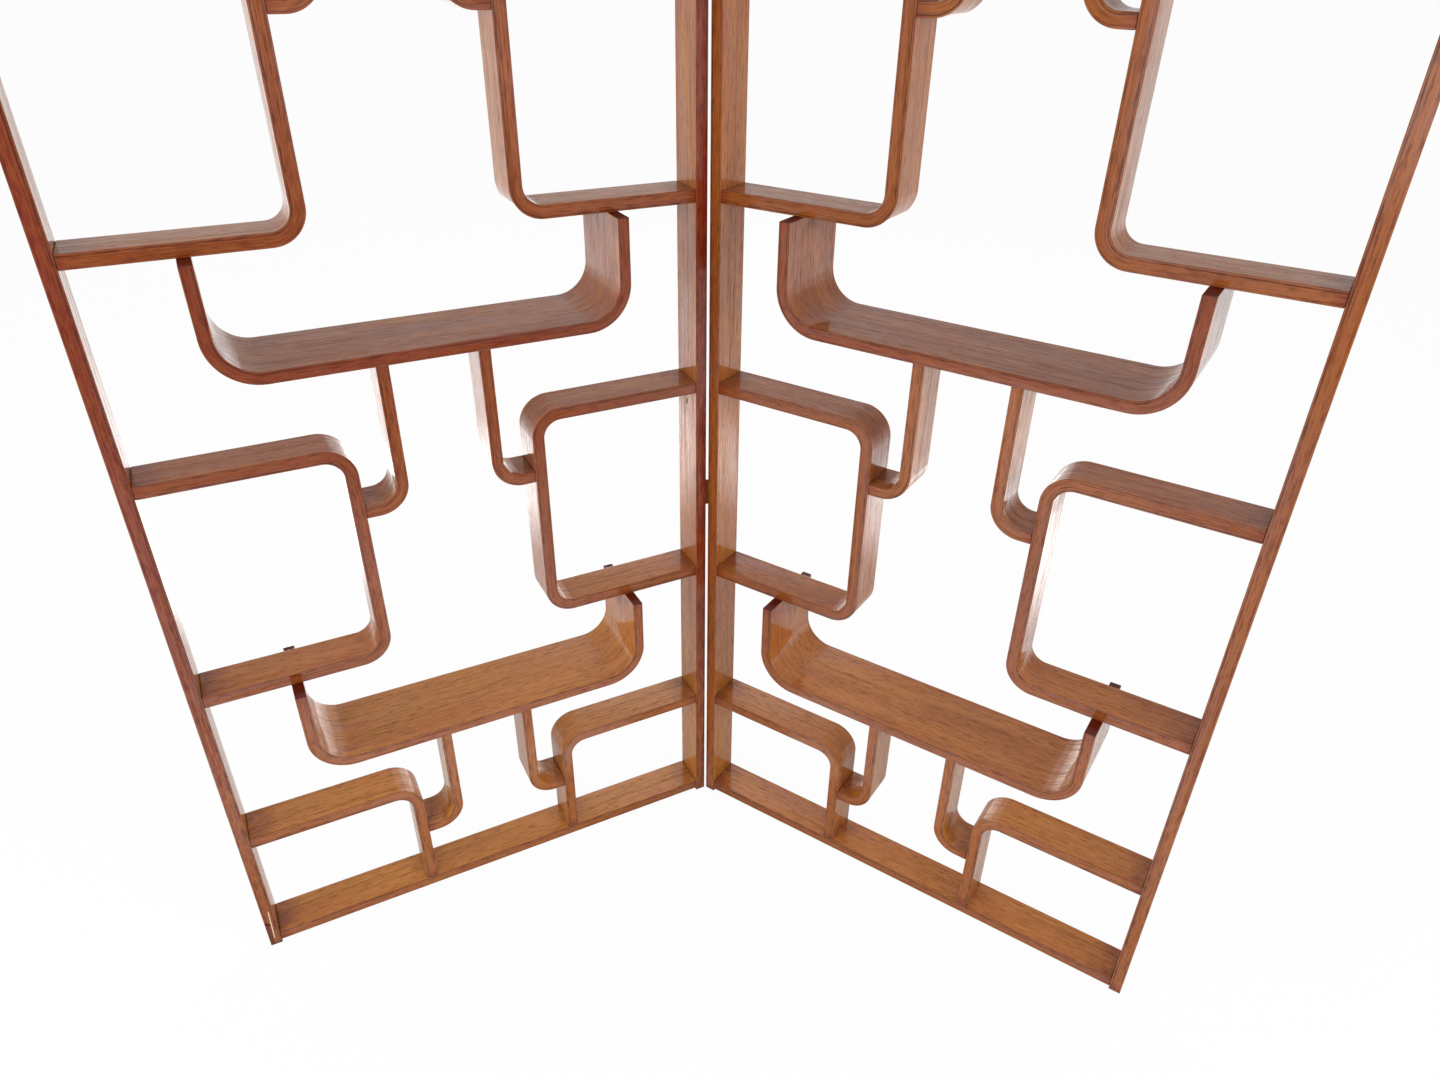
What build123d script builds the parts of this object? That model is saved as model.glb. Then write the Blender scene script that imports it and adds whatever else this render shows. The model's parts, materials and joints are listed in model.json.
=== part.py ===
"""Two-leaf folding room divider of bent laminated strips, standing in an open V.

Each leaf is a narrow frame filled with a repeating pattern of bent strips set on edge:
C-shaped loops that spring from the stiles, deep U-shaped shelves that bridge the loops,
and J-shaped hooks that hang from the shelves and butt on the loops below.
The left leaf is modelled and the right leaf is its mirror image in the YZ plane.

Frame: the floor is Z = 0, the V opens towards -Y, and the origin lies on the floor at the
centre of the bounding box. Lengths are in millimetres and angles in degrees.
Places on a leaf are written as (across, height), with "across" measured from the outer
face of the inner stile, which is the stile that carries the hinges.
"""

import os
from math import cos, radians, sin

from build123d import *

# Stance
opening_angle = 119

# Frame of one leaf
panel_width = 620
frame_depth = 49
frame_thickness = 14
rail_setback = 5

# Bent strips between the stiles
row_count = 4
arch_rise = 167.5
shelf_clearance = 89.5
shelf_rise = 115.5
loop_height = 271.5
loop_gap = 187
loop_thickness = 14
loop_bend_radius = 34

# Deep shelves
shelf_width = 415
shelf_thickness = 12.5
shelf_bend_radius = 49
shelf_overhang = 27

# Hooks under the shelves
hook_drop = 175
hook_reach = 48
hook_thickness = 13
hook_bend_radius = 34

# Loose tenons in the frame joints
tenon_width = 30
tenon_thickness = 6
tenon_seat = 9
tenon_tail = 15
tenon_clearance = 0.05
tenon_end_clearance = 0.5

# Glides under the stiles
glide_thickness = 3
glide_width = 11
glide_length = 43

# Butt hinges between the inner stiles
hinge_inset = 516
hinge_length = 34
hinge_leaf_width = 20
hinge_leaf_thickness = 0.9
hinge_stand_off = 1.3
hinge_running_gap = 0.2
knuckle_count = 3
pin_radius = 0.6
pin_clearance = 0.05

# Heights that follow from the sizes above
rail_bottom = glide_thickness + rail_setback
rail_top = rail_bottom + frame_thickness
arch_top = rail_top + arch_rise
row_pitch = shelf_clearance + shelf_rise + loop_height
shelf_undersides = [arch_top + shelf_clearance + row * row_pitch for row in range(row_count)]
shelf_tips = [underside + shelf_rise for underside in shelf_undersides]
loop_undersides = shelf_tips[:-1]
crown_underside = shelf_tips[-1]
crown_rail_bottom = crown_underside + arch_rise
panel_height = crown_rail_bottom + frame_thickness + rail_setback

# Places across a leaf that follow from the sizes above
middle = panel_width / 2
outer_stile_face = panel_width - frame_thickness
loop_face = middle + loop_gap / 2
hook_face = loop_face - hook_reach
shelf_far_end = middle + shelf_width / 2
shelf_near_end = middle - shelf_width / 2

# Stance of the left leaf, from half of the opening angle
half_angle = radians(opening_angle / 2)
along = Vector(-sin(half_angle), -cos(half_angle), 0)
backward = Vector(-cos(half_angle), sin(half_angle), 0)
front_reach = (hinge_stand_off + panel_width) * cos(half_angle)
back_reach = frame_depth * sin(half_angle) - hinge_stand_off * cos(half_angle)
hinge_axis = Vector(0, (front_reach - back_reach) / 2, 0)
front = Plane(origin=hinge_axis + along * hinge_stand_off, x_dir=along, z_dir=backward)
shelf_front = front.offset(-shelf_overhang)
shelf_depth = frame_depth + 2 * shelf_overhang
leaf_middle = Plane(origin=front.origin + along * middle, x_dir=backward, z_dir=along)

os.makedirs("parts", exist_ok=True)


def finish(piece, name):
    """Labels a finished piece and writes its STEP file."""
    piece.part.label = name
    export_step(piece.part, f"parts/{name}.step")


def place(half, side):
    """Turns the piece in the current builder from the left leaf's outer half to its own place."""
    if half == "inner":
        mirror(about=leaf_middle, mode=Mode.REPLACE)
    if side == "right":
        mirror(about=Plane.YZ, mode=Mode.REPLACE)


def seat(across, height, direction):
    """A plane on a joint, at mid-depth, that looks from the frame into the strip it carries."""
    origin = front.from_local_coords((across, height, frame_depth / 2))
    return Plane(origin=origin, x_dir=backward, z_dir=direction)


def stile_seats(heights):
    """The seats on the outer stile's inward face at these heights."""
    return [seat(outer_stile_face, height, -along) for height in heights]


def mortise(seats, depth):
    """Cuts a blind mortise at each seat, forward into a strip or, if negative, back into the frame."""
    with BuildSketch(*seats) as outline:
        Rectangle(tenon_width + 2 * tenon_clearance, tenon_thickness + 2 * tenon_clearance)
    extrude(outline.sketch, amount=depth, mode=Mode.SUBTRACT)


# Heights of the strips' centre lines where they meet a stile
half_strip = loop_thickness / 2
loop_ends = [
    height
    for underside in loop_undersides
    for height in (underside + half_strip, underside + loop_height - half_strip)
]
arch_end = arch_top - half_strip
crown_end = crown_underside + half_strip
rail_ends = [rail_bottom + frame_thickness / 2, crown_rail_bottom + frame_thickness / 2]
frame_seats = stile_seats(rail_ends + [arch_end, crown_end] + loop_ends)
foot_leg_seat = seat(loop_face + half_strip, rail_top, Vector(0, 0, 1))
crown_leg_seat = seat(loop_face + half_strip, crown_rail_bottom, Vector(0, 0, -1))

# Depths of the mortises in the frame and in the strips
frame_mortise = tenon_seat + tenon_end_clearance
strip_mortise = tenon_tail + tenon_end_clearance


def stile(name, half, side):
    """An upright of the frame, mortised on its inward face."""
    with BuildPart() as piece:
        with BuildSketch(front):
            with Locations((outer_stile_face, glide_thickness)):
                Rectangle(frame_thickness, panel_height - glide_thickness, align=Align.MIN)
        extrude(amount=frame_depth)
        mortise(frame_seats, -frame_mortise)
        place(half, side)
    finish(piece, name)


def rail(name, bottom, leg, side):
    """A cross rail between the stiles, mortised at its ends and under both legs."""
    with BuildPart() as piece:
        with BuildSketch(front):
            with Locations((middle, bottom)):
                Rectangle(
                    panel_width - 2 * frame_thickness,
                    frame_thickness,
                    align=(Align.CENTER, Align.MIN),
                )
        extrude(amount=frame_depth)
        mortise(stile_seats([bottom + frame_thickness / 2]), strip_mortise)
        mortise([leg], -frame_mortise)
        mirror(about=leaf_middle, mode=Mode.INTERSECT)
        place("outer", side)
    finish(piece, name)


def bent_strip(name, path, bend_radius, thickness, half, side, seats=None):
    """A strip as deep as the frame, bent along the path, with its thickness on the left."""
    with BuildPart() as piece:
        with BuildSketch(front):
            with BuildLine():
                FilletPolyline(*path, radius=bend_radius)
                offset(amount=thickness, side=Side.LEFT)
            make_face()
        extrude(amount=frame_depth)
        if seats:
            mortise(seats, strip_mortise)
        place(half, side)
    finish(piece, name)


def shelf(name, underside, tip, side):
    """A deep U-shaped shelf that stands out in front of and behind the frame."""
    with BuildPart() as piece:
        with BuildSketch(shelf_front):
            with BuildLine():
                FilletPolyline(
                    (shelf_near_end, tip),
                    (shelf_near_end, underside),
                    (shelf_far_end, underside),
                    (shelf_far_end, tip),
                    radius=shelf_bend_radius,
                )
                offset(amount=shelf_thickness, side=Side.LEFT)
            make_face()
        extrude(amount=shelf_depth)
        place("outer", side)
    finish(piece, name)


def loop_path(underside):
    """The convex edge of a C-shaped loop, from the stile and back to it."""
    top = underside + loop_height
    return [
        (outer_stile_face, top),
        (loop_face, top),
        (loop_face, underside),
        (outer_stile_face, underside),
    ]


def hook_path(underside):
    """The convex edge of a hook, from under a shelf to the side of the loop below."""
    bottom = underside - hook_drop
    return [(hook_face, underside), (hook_face, bottom), (loop_face, bottom)]


def loose_tenons(name, side):
    """The loose tenons of one leaf, each a separate solid."""
    seats = frame_seats + [foot_leg_seat, crown_leg_seat]
    with BuildPart() as piece:
        with BuildSketch(*[each.offset(-tenon_seat) for each in seats]):
            Rectangle(tenon_width, tenon_thickness)
        extrude(amount=tenon_seat + tenon_tail)
        mirror(about=leaf_middle)
        place("outer", side)
    finish(piece, name)


def glides(name, side):
    """The thin glides under both stiles of one leaf."""
    under_stile = front.from_local_coords(
        (panel_width - frame_thickness / 2, 0, frame_depth / 2)
    )
    with BuildPart() as piece:
        with BuildSketch(Plane(origin=under_stile, x_dir=along, z_dir=(0, 0, 1))):
            Rectangle(glide_width, glide_length)
        extrude(amount=glide_thickness)
        mirror(about=leaf_middle)
        place("outer", side)
    finish(piece, name)


# Hinge pieces
hinge_levels = [hinge_inset, panel_height - hinge_inset]
barrel_radius = hinge_stand_off - hinge_running_gap
knuckle_length = (hinge_length - (knuckle_count - 1) * hinge_running_gap) / knuckle_count
knuckle_pitch = knuckle_length + hinge_running_gap
knuckle_clear_radius = barrel_radius + hinge_running_gap


def hinge_leaves(name, knuckles, side):
    """The two hinge leaves on one inner stile, each a plate with its share of the knuckles."""
    with BuildPart() as piece:
        for level in hinge_levels:
            foot = level - hinge_length / 2
            corner = front.from_local_coords((0, foot, 0))
            plan = Plane(origin=corner, x_dir=along, z_dir=(0, 0, 1))
            with BuildSketch(plan):
                Rectangle(hinge_leaf_thickness, hinge_leaf_width, align=Align.MAX)
            extrude(amount=hinge_length)
            for knuckle in range(knuckle_count):
                start = knuckle * knuckle_pitch
                if knuckle in knuckles:
                    with BuildSketch(plan.offset(start)):
                        with Locations((-hinge_stand_off, 0)):
                            Circle(barrel_radius)
                    extrude(amount=knuckle_length)
                else:
                    with BuildSketch(plan.offset(start - hinge_running_gap)):
                        with Locations((-hinge_stand_off, 0)):
                            Rectangle(2 * hinge_stand_off, 2 * knuckle_clear_radius)
                    extrude(amount=knuckle_length + 2 * hinge_running_gap, mode=Mode.SUBTRACT)
            with BuildSketch(plan):
                with Locations((-hinge_stand_off, 0)):
                    Circle(pin_radius + pin_clearance)
            extrude(amount=hinge_length, mode=Mode.SUBTRACT)
        place("outer", side)
    finish(piece, name)


def hinge_pins(name):
    """The pins on the folding axis, one in each hinge."""
    with BuildPart() as piece:
        for level in hinge_levels:
            with BuildSketch(Plane(origin=hinge_axis + Vector(0, 0, level - hinge_length / 2))):
                Circle(pin_radius)
            extrude(amount=hinge_length)
    finish(piece, name)


for side in ("left", "right"):
    stile(f"{side}_outer_stile", "outer", side)
    stile(f"{side}_inner_stile", "inner", side)
    rail(f"{side}_bottom_rail", rail_bottom, foot_leg_seat, side)
    rail(f"{side}_top_rail", crown_rail_bottom, crown_leg_seat, side)
    for row in range(row_count):
        shelf(f"{side}_shelf_{row + 1}", shelf_undersides[row], shelf_tips[row], side)
    for half in ("outer", "inner"):
        bent_strip(
            f"{side}_{half}_foot_arch",
            [(outer_stile_face, arch_top), (loop_face, arch_top), (loop_face, rail_top)],
            loop_bend_radius,
            loop_thickness,
            half,
            side,
            stile_seats([arch_end]) + [foot_leg_seat],
        )
        bent_strip(
            f"{side}_{half}_crown_arch",
            [
                (loop_face, crown_rail_bottom),
                (loop_face, crown_underside),
                (outer_stile_face, crown_underside),
            ],
            loop_bend_radius,
            loop_thickness,
            half,
            side,
            stile_seats([crown_end]) + [crown_leg_seat],
        )
        for row, underside in enumerate(loop_undersides):
            bent_strip(
                f"{side}_{half}_loop_{row + 1}",
                loop_path(underside),
                loop_bend_radius,
                loop_thickness,
                half,
                side,
                stile_seats(loop_ends[2 * row : 2 * row + 2]),
            )
        for row, underside in enumerate(shelf_undersides):
            bent_strip(
                f"{side}_{half}_hook_{row + 1}",
                hook_path(underside),
                hook_bend_radius,
                hook_thickness,
                half,
                side,
            )
    loose_tenons(f"{side}_loose_tenons", side)
    glides(f"{side}_glides", side)

hinge_leaves("left_hinge_leaves", range(0, knuckle_count, 2), "left")
hinge_leaves("right_hinge_leaves", range(1, knuckle_count, 2), "right")
hinge_pins("hinge_pins")
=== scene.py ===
"""Looks of the folding room divider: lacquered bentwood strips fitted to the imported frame.

Each wooden strip of the CAD model is replaced by a mesh of the same size with eased edges and a
grain that follows its bends. Every place is read from the frame. This file adds the strips'
thicknesses, bend radii and finishes. Lengths are in metres unless a name ends in _mm.
"""

import json
import logging
import math
from collections.abc import Callable
from dataclasses import dataclass, field
from enum import Enum
from functools import partial

import bmesh
import bpy
import numpy as np
from mathutils import Euler, Matrix, Vector


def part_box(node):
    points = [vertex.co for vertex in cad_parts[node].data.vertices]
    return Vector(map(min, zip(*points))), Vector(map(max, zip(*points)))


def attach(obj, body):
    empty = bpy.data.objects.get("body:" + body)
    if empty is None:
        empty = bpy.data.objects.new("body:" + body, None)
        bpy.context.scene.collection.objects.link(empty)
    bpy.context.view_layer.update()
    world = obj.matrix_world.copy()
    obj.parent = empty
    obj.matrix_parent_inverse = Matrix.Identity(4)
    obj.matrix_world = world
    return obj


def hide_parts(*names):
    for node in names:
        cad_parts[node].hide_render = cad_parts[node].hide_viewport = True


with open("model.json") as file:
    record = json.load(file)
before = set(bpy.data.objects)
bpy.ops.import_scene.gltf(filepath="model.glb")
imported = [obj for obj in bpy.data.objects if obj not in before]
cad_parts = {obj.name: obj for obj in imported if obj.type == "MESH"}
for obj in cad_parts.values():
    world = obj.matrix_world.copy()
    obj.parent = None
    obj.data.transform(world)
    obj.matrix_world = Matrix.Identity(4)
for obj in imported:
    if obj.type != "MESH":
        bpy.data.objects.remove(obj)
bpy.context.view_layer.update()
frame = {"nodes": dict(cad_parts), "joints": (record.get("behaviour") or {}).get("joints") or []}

MM = 0.001
LOG = logging.getLogger("room_divider")
WHITE = (1.0, 1.0, 1.0, 1.0)

# The Mix node's sockets, by number because those for numbers and for colours share their names
SHARE = 0
LOW, HIGH = 2, 3
UNDER, OVER = 6, 7
COLOUR_MIX = {"output": 2, "data_type": "RGBA"}

Socket = bpy.types.NodeSocket
# Two values of a pattern, direction or distance, and the two that they are turned into
Range = tuple[float, float, float, float]
Place = tuple[float, float, float]


class Side(Enum):
    """The two leaves, named as they lie when the open side of the V is faced."""

    LEFT = "left"
    RIGHT = "right"

    @property
    def body(self) -> str:
        """The CAD body that holds the leaf."""
        return f"{self.value}_panel"


class Half(Enum):
    """The two halves of a leaf: outer is far from the hinges, inner is beside them."""

    OUTER = "outer"
    INNER = "inner"

    @property
    def towards_stile(self) -> int:
        """The sign of the way across the leaf from its middle to this half's stile."""
        return 1 if self is Half.OUTER else -1


class Slot(Enum):
    """The record's material slots."""

    FRAME = "frame_veneer"
    BENT = "bent_veneer"
    SHELF = "shelf_veneer"
    TENON = "tenon_wood"
    GLIDE = "glide_plastic"
    HINGE = "hinge_brass"


def linear(code: str) -> tuple[float, float, float, float]:
    """Turns an sRGB hex colour into a linear one.

    Args:
        code: The colour as "#rrggbb".

    Returns:
        Linear red, green and blue, and an alpha of 1.
    """
    parts = [int(code[place : place + 2], 16) / 255 for place in (1, 3, 5)]
    red, green, blue = (c / 12.92 if c <= 0.04045 else ((c + 0.055) / 1.055) ** 2.4 for c in parts)
    return red, green, blue, 1.0


def add_node(
    tree: bpy.types.NodeTree,
    kind: str,
    inputs: dict | list | None = None,
    output: int | str = 0,
    stops: tuple[tuple[float, str], ...] = (),
    **settings,
) -> Socket | None:
    """Adds a shader node with its settings and links.

    Args:
        tree: The node tree that gets the node.
        kind: The node's type, without the words that all shader nodes' types start with.
        inputs: Values or sockets, by name or number or as a list in order. A socket is linked.
        output: The output that is handed back.
        stops: The places and hex colours of a colour ramp.
        **settings: Properties of the node itself.

    Returns:
        The wanted output's socket, or None if the node has no output.
    """
    node = tree.nodes.new(f"ShaderNode{kind}")
    for name, value in settings.items():
        setattr(node, name, value)
    for key, value in inputs.items() if isinstance(inputs, dict) else enumerate(inputs or ()):
        if isinstance(value, Socket):
            tree.links.new(value, node.inputs[key])
        else:
            node.inputs[key].default_value = value
    for index, (place, code) in enumerate(stops):
        if index >= len(node.color_ramp.elements):
            node.color_ramp.elements.new(1.0)
        node.color_ramp.elements[index].position = place
        node.color_ramp.elements[index].color = linear(code)
    return node.outputs[output] if node.outputs else None


def new_material(name: str) -> tuple[bpy.types.Material, Callable]:
    """Makes an empty node material.

    Args:
        name: The material's name.

    Returns:
        The material, and add_node for its node tree.
    """
    material = bpy.data.materials.new(name)
    material.use_nodes = True
    material.node_tree.nodes.clear()
    return material, partial(add_node, material.node_tree)


@dataclass(frozen=True)
class Mark:
    """A scar, crack, stain or painted shadow: a stroke between two places along, across and through a
    strip.

    The core is the share of its width that it covers fully, before it fades.
    """

    start_mm: Place
    end_mm: Place
    width_mm: float
    colour: str
    core: float = 0.5
    coat_left: float = 0.0

    def paint(self, node: Callable, place: Socket, under: Socket, coat: Socket) -> tuple[Socket, Socket]:
        """Paints the mark over a strip's colour and takes the coat away there.

        Args:
            node: Adds a node to the material.
            place: The place on the strip.
            under: The colour under the mark.
            coat: The lacquer's weight around the mark.

        Returns:
            The colour and the lacquer's weight with the mark on them.
        """
        start = Vector(self.start_mm) * MM
        run = Vector(self.end_mm) * MM - start
        offset = node("VectorMath", [place, tuple(start)], operation="SUBTRACT")
        per_run = tuple(run / run.length_squared)
        reached = node("VectorMath", [offset, per_run], "Value", operation="DOT_PRODUCT")
        held = node("Clamp", [reached, 0.0, 1.0])
        nearest = node("VectorMath", {0: tuple(run), "Scale": held}, operation="SCALE")
        away = node("VectorMath", [offset, nearest], "Value", operation="DISTANCE")
        half = self.width_mm * MM / 2
        mask = node("MapRange", [away, self.core * half, half, 1.0, 0.0])
        colour = node("Mix", {SHARE: mask, UNDER: under, OVER: linear(self.colour)}, **COLOUR_MIX)
        return colour, node("Mix", {SHARE: mask, LOW: coat, HIGH: self.coat_left})


@dataclass(frozen=True)
class Wood:
    """What the veneer's shader knows about each point of a strip, as sockets of its node tree.

    The place, the distances and the edge come from the mesh. The edge is 1 on a strip's sanded
    edges and 0 on its faces. The patterns and the shade, from 0 to 1, come from noise.
    """

    place: Socket
    through: Socket
    half_thickness: Socket
    edge: Socket
    end_distance: Socket
    stained: Socket
    lines: Socket
    pores: Socket
    mottle: Socket
    shade: Socket


@dataclass(frozen=True)
class LacqueredVeneer:
    """Mahogany-toned veneer glued in a mould, sanded and sprayed with a clear gloss lacquer.

    To the eye it is a warm orange brown with long straight lines and short dark pores, under a
    smooth coat that mirrors pale surroundings as a whitish veil wherever it is seen at a low
    angle. The coat has sunk into the open lines and pores, so the veil is streaked along the
    grain. The sanded edges show the stacked veneers as fine dark lines, have taken more of the
    red stain than the faces, and are darkest at the arrises and joints. A thin painted shadow
    lies in the gap of each joint, and painted shade darkens the faces near the joints.

    The real pores and glue lines are 0.1 to 0.4 mm wide, too fine to show. They are drawn 1 to
    2 mm wide, about the finest that shows from where the whole object is seen. The weak side is
    the side of a strip on which its glue lines show less.
    """

    name: str
    pale: str = "#ca8b48"
    light: str = "#bf7d34"
    middle: str = "#af672c"
    dark: str = "#8c4719"
    pore: str = "#54260f"
    # Painted shade in the corners near a strip's ends
    pooled: str = "#7a3a22"
    edge_pale: str = "#ae6930"
    edge_light: str = "#9a5721"
    edge_dark: str = "#7b3d19"
    stain: str = "#701708"
    end_grain: str = "#551408"
    # The glue lines' colour, also used for the darker arrises and the painted shadow in the joints' gaps
    glue_line: str = "#451a0c"
    figure_mm: tuple[float, float] = (170.0, 24.0)
    line_mm: tuple[float, float] = (150.0, 3.0)
    pore_mm: tuple[float, float] = (15.0, 1.7)
    mottle_mm: float = 22.0
    shade_range: Range = (0.58, 1.84, 0.0, 1.0)
    line_range: Range = (0.54, 0.68, 0.0, 0.4)
    pore_range: Range = (0.52, 0.66, 0.0, 0.5)
    arris_range: Range = (0.1, 0.45, 0.0, 0.65)
    ply_mm: float = 2.8
    first_ply_mm: float = 2.3
    glue_mm: tuple[float, float] = (0.4, 1.2)
    fading_plies: float = 1.5
    deep_glue: float = 0.3
    weak_side_glue: float = 0.5
    broken_glue_range: Range = (0.38, 0.56, 0.4, 1.0)
    patchy_stain_range: Range = (0.35, 0.65, 0.8, 1.2)
    porous_stain_range: Range = (0.35, 0.6, 0.7, 1.15)
    joint_stain_mm: tuple[float, float] = (3.0, 15.0)
    joint_stain: float = 0.55
    # A thin painted shadow in the gap of each joint: its width and strength
    joint_line_mm: float = 1.6
    joint_line: float = 0.8
    # How far from a strip's ends the painted corner shade reaches, and its strength
    pooled_mm: tuple[float, float] = (8.0, 36.0)
    pooled_tone: float = 0.75
    uneven_range: Range = (0.35, 0.6, 0.25, 1.0)
    end_grain_mm: float = 0.3
    end_grain_tone: float = 0.9
    end_coat: float = 0.4
    line_coat_range: Range = (0.44, 0.62, 1.0, 0.5)
    pore_coat_range: Range = (0.5, 0.66, 1.0, 0.6)
    coat_ior: float = 1.52
    coat_roughness: float = 0.1
    roughness_range: Range = (0.35, 0.65, 0.42, 0.56)
    groove_mm: float = 0.15
    marks: tuple[Mark, ...] = ()

    def drawn_out(
        self, node: Callable, grain: Socket, size_mm: tuple[float, float], detail: float
    ) -> Socket:
        """Adds noise drawn out along the grain.

        Args:
            node: Adds a node to the material.
            grain: The place on the strip, in metres: along, across and through it.
            size_mm: The length and width of one mark of the noise.
            detail: The noise's detail.

        Returns:
            The noise's value.
        """
        long, wide = (1 / (size * MM) for size in size_mm)
        place = node("VectorMath", [grain, (long, wide, wide)], operation="MULTIPLY")
        wanted = {"Vector": place, "Scale": 1.0, "Detail": detail, "Roughness": 0.55, "Distortion": 0.2}
        return node("TexNoise", wanted)

    def wood(self, node: Callable) -> Wood:
        """Reads the mesh's attributes and adds the grain's patterns.

        Args:
            node: Adds a node to the material.

        Returns:
            What is known about each point of a strip.
        """
        labels = ("place", "veneer", "marks")
        place, veneer, marks = (
            node("Attribute", output="Vector", attribute_name=label) for label in labels
        )
        edge, end_distance, tone = node("SeparateXYZ", [marks]).node.outputs
        shift = node("VectorMath", [veneer, (1, 1, 0)], operation="MULTIPLY")
        grain = node("VectorMath", [place, shift], operation="ADD")
        figure = self.drawn_out(node, grain, self.figure_mm, detail=4.0)
        lines = self.drawn_out(node, grain, self.line_mm, detail=2.0)
        blended = node("Math", [figure, lines], operation="ADD")
        toned = node("Math", [blended, tone], operation="ADD")
        return Wood(
            place=place,
            through=node("SeparateXYZ", [place], "Z"),
            half_thickness=node("SeparateXYZ", [veneer], "Z"),
            edge=edge,
            end_distance=end_distance,
            stained=node("Attribute", output="Fac", attribute_name="stain"),
            lines=lines,
            pores=self.drawn_out(node, grain, self.pore_mm, detail=2.0),
            mottle=node("TexNoise", {"Vector": grain, "Scale": 1 / (self.mottle_mm * MM), "Detail": 3.0}),
            shade=node("MapRange", [toned, *self.shade_range]),
        )

    def faces(self, node: Callable, wood: Wood) -> Socket:
        """Colours the broad faces, with painted shade near their ends, in the corners where they meet
        other parts.

        Args:
            node: Adds a node to the material.
            wood: What is known about each point of the strip.

        Returns:
            The faces' colour.
        """
        stops = ((0.0, self.dark), (0.33, self.middle), (0.67, self.light), (1.0, self.pale))
        colour = node("ValToRGB", [wood.shade], stops=stops)
        # Painted shade near the ends, where the strip meets other parts, in uneven patches
        near, far = (reach * MM for reach in self.pooled_mm)
        pooled = node("MapRange", [wood.end_distance, near, far, self.pooled_tone, 0.0])
        uneven = node("MapRange", [wood.mottle, *self.uneven_range])
        pooled = node("Math", [pooled, uneven], operation="MULTIPLY")
        return node("Mix", {SHARE: pooled, UNDER: colour, OVER: linear(self.pooled)}, **COLOUR_MIX)

    def edge_stain(self, node: Callable, wood: Wood) -> Socket:
        """Works out how much red stain the sanded edges took: more in patches and at joints.

        Args:
            node: Adds a node to the material.
            wood: What is known about each point of the strip.

        Returns:
            The stain's share of the edges' colour.
        """
        taken = wood.stained
        for factor in (
            node("MapRange", [wood.mottle, *self.patchy_stain_range]),
            node("MapRange", [wood.pores, *self.porous_stain_range]),
        ):
            taken = node("Math", [taken, factor], operation="MULTIPLY")
        near, far = (reach * MM for reach in self.joint_stain_mm)
        at_joint = node("MapRange", [wood.end_distance, near, far, self.joint_stain, 0.0])
        return node("Math", [taken, at_joint], operation="MAXIMUM")

    def edges(self, node: Callable, wood: Wood) -> Socket:
        """Colours the sanded edges, where the stacked veneers show.

        Args:
            node: Adds a node to the material.
            wood: What is known about each point of the strip.

        Returns:
            The edges' colour.
        """
        stops = ((0.0, self.edge_dark), (0.6, self.edge_light), (1.0, self.edge_pale))
        colour = node("ValToRGB", [wood.shade], stops=stops)
        taken = self.edge_stain(node, wood)
        colour = node("Mix", {SHARE: taken, UNDER: colour, OVER: linear(self.stain)}, **COLOUR_MIX)
        first_ply = self.first_ply_mm * MM
        off_middle = node("Math", [wood.through], operation="ABSOLUTE")
        buried = node("Math", [wood.half_thickness, off_middle], operation="SUBTRACT")
        depth = node("Math", [buried, first_ply], operation="SUBTRACT")
        to_line = node("Math", [depth, self.ply_mm * MM / 2], operation="PINGPONG")
        line = node("MapRange", [to_line, *(reach * MM for reach in self.glue_mm), 1.0, 0.0])
        deepest = self.ply_mm * self.fading_plies * MM
        for factor in (
            node("MapRange", [buried, first_ply, deepest, 1.0, self.deep_glue]),
            node("MapRange", [wood.through, -MM, MM, self.weak_side_glue, 1.0]),
            node("MapRange", [wood.pores, *self.broken_glue_range]),
        ):
            line = node("Math", [line, factor], operation="MULTIPLY")
        return node("Mix", {SHARE: line, UNDER: colour, OVER: linear(self.glue_line)}, **COLOUR_MIX)

    def darkened(self, node: Callable, wood: Wood, colour: Socket) -> Socket:
        """Darkens the lines, pores, arrises and end grain, and paints a thin shadow into the gap of each
        joint.

        Args:
            node: Adds a node to the material.
            wood: What is known about each point of the strip.
            colour: The wood's colour.

        Returns:
            The colour with these on it.
        """
        arris = node("Math", [wood.edge, 0.5], operation="PINGPONG")
        joint_line = [0.0, self.joint_line_mm * MM, self.joint_line, 0.0]
        end_grain = [0.0, self.end_grain_mm * MM, self.end_grain_tone, 0.0]
        for mask, tint in (
            (node("MapRange", [wood.lines, *self.line_range]), self.pore),
            (node("MapRange", [wood.pores, *self.pore_range]), self.pore),
            (node("MapRange", [arris, *self.arris_range]), self.glue_line),
            # A painted shadow in the gap of each joint
            (node("MapRange", [wood.end_distance, *joint_line]), self.glue_line),
            (node("MapRange", [wood.end_distance, *end_grain]), self.end_grain),
        ):
            colour = node("Mix", {SHARE: mask, UNDER: colour, OVER: linear(tint)}, **COLOUR_MIX)
        return colour

    def coat(self, node: Callable, wood: Wood) -> Socket:
        """Works out the lacquer's weight, which is low where it sank into lines, pores and ends.

        Args:
            node: Adds a node to the material.
            wood: What is known about each point of the strip.

        Returns:
            The coat's weight.
        """
        weight = node("MapRange", [wood.lines, *self.line_coat_range])
        for factor in (
            node("MapRange", [wood.pores, *self.pore_coat_range]),
            node("MapRange", [wood.end_distance, 0.0, self.end_grain_mm * MM, self.end_coat, 1.0]),
        ):
            weight = node("Math", [weight, factor], operation="MULTIPLY")
        return weight

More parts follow.
